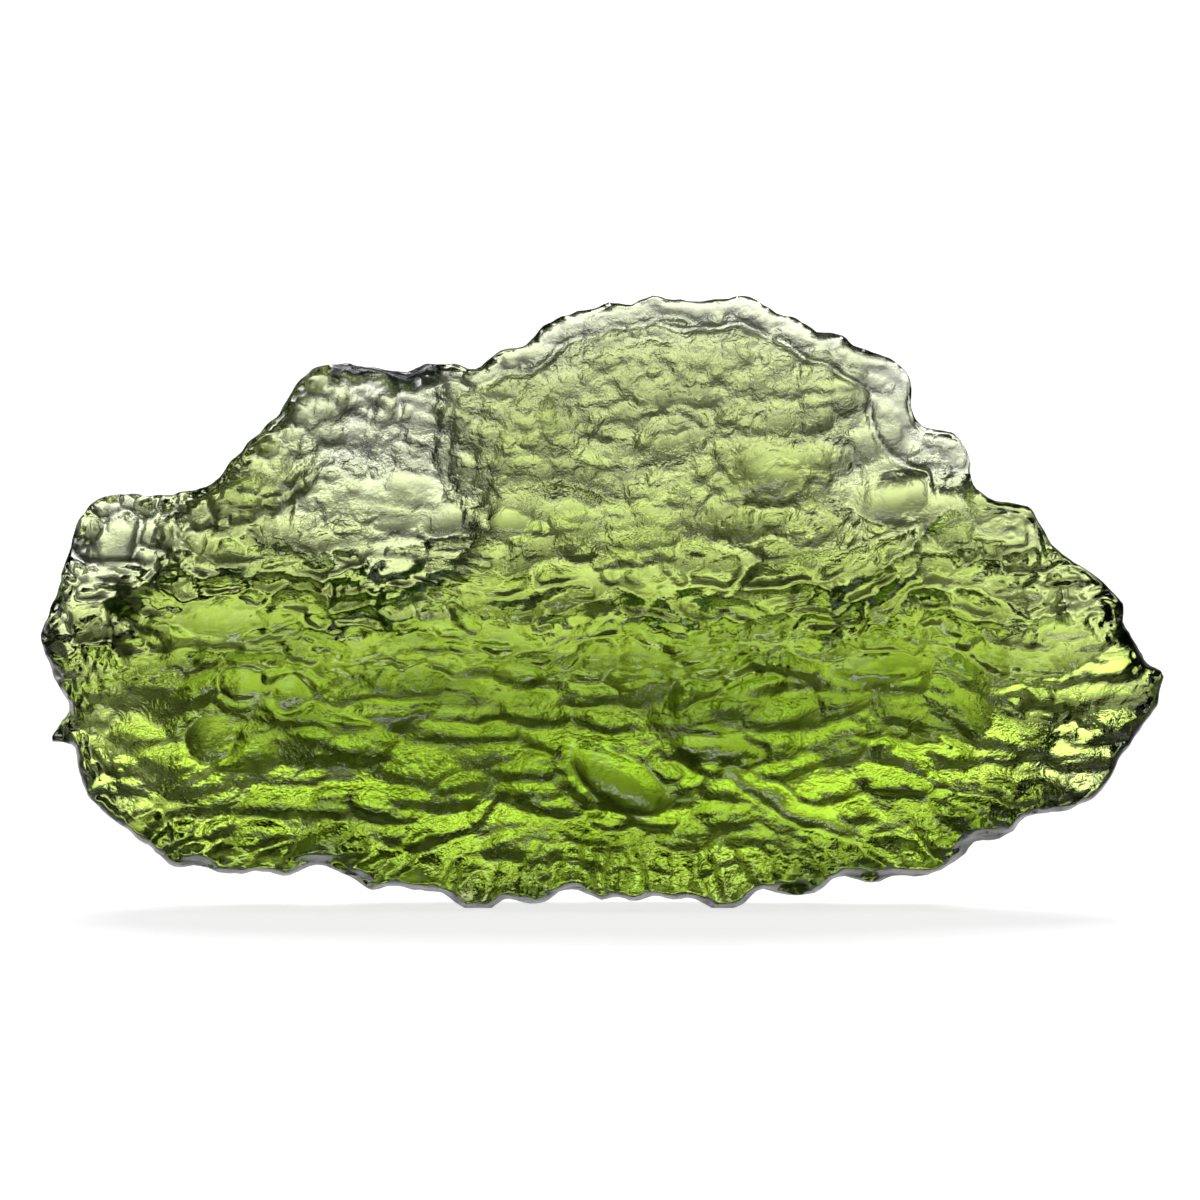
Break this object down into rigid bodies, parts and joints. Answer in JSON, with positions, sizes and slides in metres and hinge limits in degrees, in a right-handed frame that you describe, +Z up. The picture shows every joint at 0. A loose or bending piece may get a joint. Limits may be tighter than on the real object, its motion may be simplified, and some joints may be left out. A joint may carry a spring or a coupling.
{
  "type": "moldavite",
  "caption": "Thin sculpted plate of green natural glass that stands on edge, with a humped crown, a heavier belly, overlapping flakes, round lumps and a ragged rim.",
  "frame": {"origin": "on the surface that the stone stands on, under the middle of its bounding box", "axes": "+X along the stone's width, to the right seen from the front; +Y away from the viewer, through its thickness; +Z up to the crown"},
  "size_m": [0.0524, 0.0114, 0.0285],
  "materials": {
    "moldavite_glass": "natural bottle-green glass, see-through, glossy on the belly and finely frosted towards the crown"
  },
  "bodies": {
    "root": {"moldavite": "moldavite_glass"}
  },
  "joints": []
}
